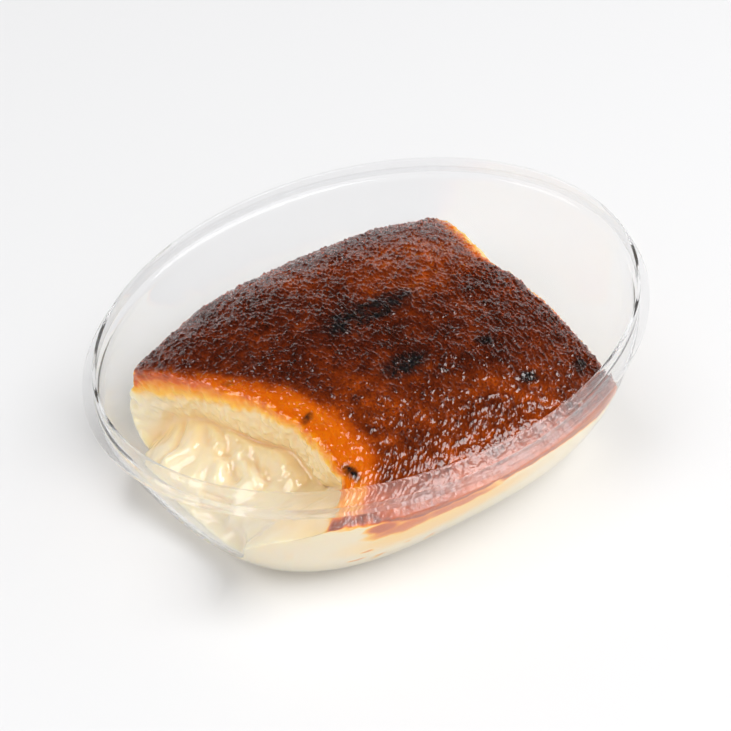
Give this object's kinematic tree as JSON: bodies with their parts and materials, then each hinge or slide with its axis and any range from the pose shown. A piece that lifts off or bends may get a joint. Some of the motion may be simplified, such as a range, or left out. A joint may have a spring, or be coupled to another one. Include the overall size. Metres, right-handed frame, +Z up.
{
  "type": "caramelized milk pudding in an oval tub",
  "caption": "Rolled slab of milk pudding with a burnt caramel skin, laid in a clear oval tub with a collar and lid flange.",
  "frame": {"origin": "middle of the flat base that the tub stands on", "axes": "+X along the tub's length, away from the cut end of the pudding; +Y across, towards the side the pudding stays clear of; +Z up"},
  "size_m": [0.1708, 0.1292, 0.048],
  "materials": {
    "clear_plastic": "clear, colourless, polished",
    "milk_pudding": "soft, moist, cream white, with a glossy burnt caramel skin on its outer side"
  },
  "bodies": {
    "root": {"tub": "clear_plastic", "pudding": "milk_pudding"}
  },
  "joints": []
}
